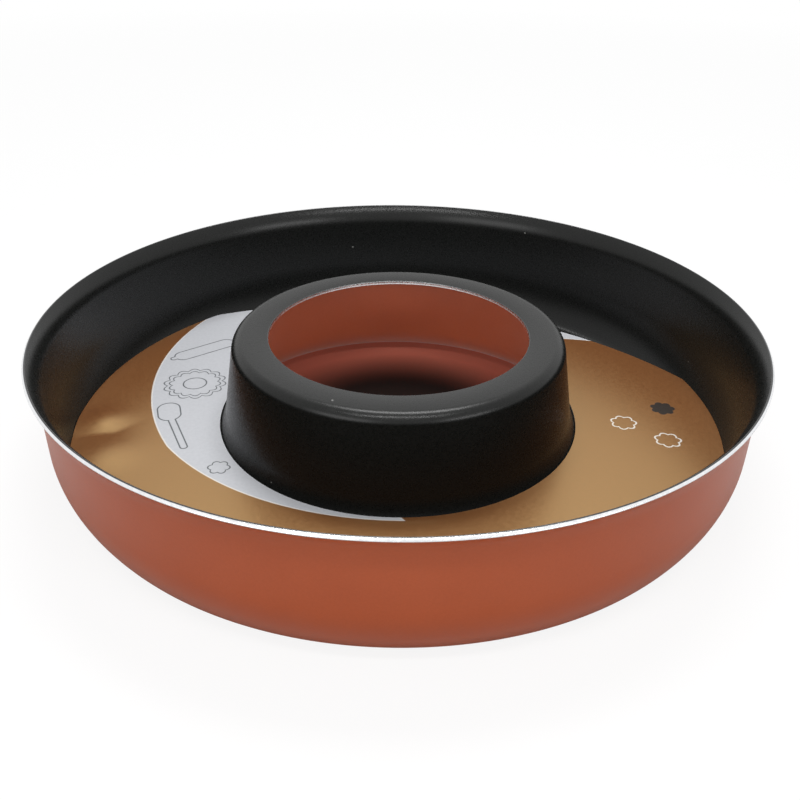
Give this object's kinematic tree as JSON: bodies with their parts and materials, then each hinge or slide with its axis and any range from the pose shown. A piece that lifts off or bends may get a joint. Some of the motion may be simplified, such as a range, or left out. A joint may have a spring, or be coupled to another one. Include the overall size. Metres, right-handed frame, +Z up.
{
  "type": "ring cake mould",
  "caption": "Ring cake mould pressed from one sheet of aluminium, with soft corners, a tapered open tube in the middle, a flared lip, and a printed card ring laid in the channel.",
  "frame": {"origin": "centre of the flat ring that the mould stands on, at the level of the table", "axes": "+Z up along the mould's axis, -Y towards the viewer, +X to the viewer's right"},
  "size_m": [0.28, 0.28, 0.0523],
  "materials": {
    "coated_aluminium": "satin terracotta coating outside, satin black non-stick coating inside, bare bright metal on the trimmed edges",
    "printed_card": "smooth printed card, copper and pale grey fields with thin line drawings, white cut edges"
  },
  "bodies": {
    "root": {"mould": "coated_aluminium", "card_ring": "printed_card"}
  },
  "joints": []
}
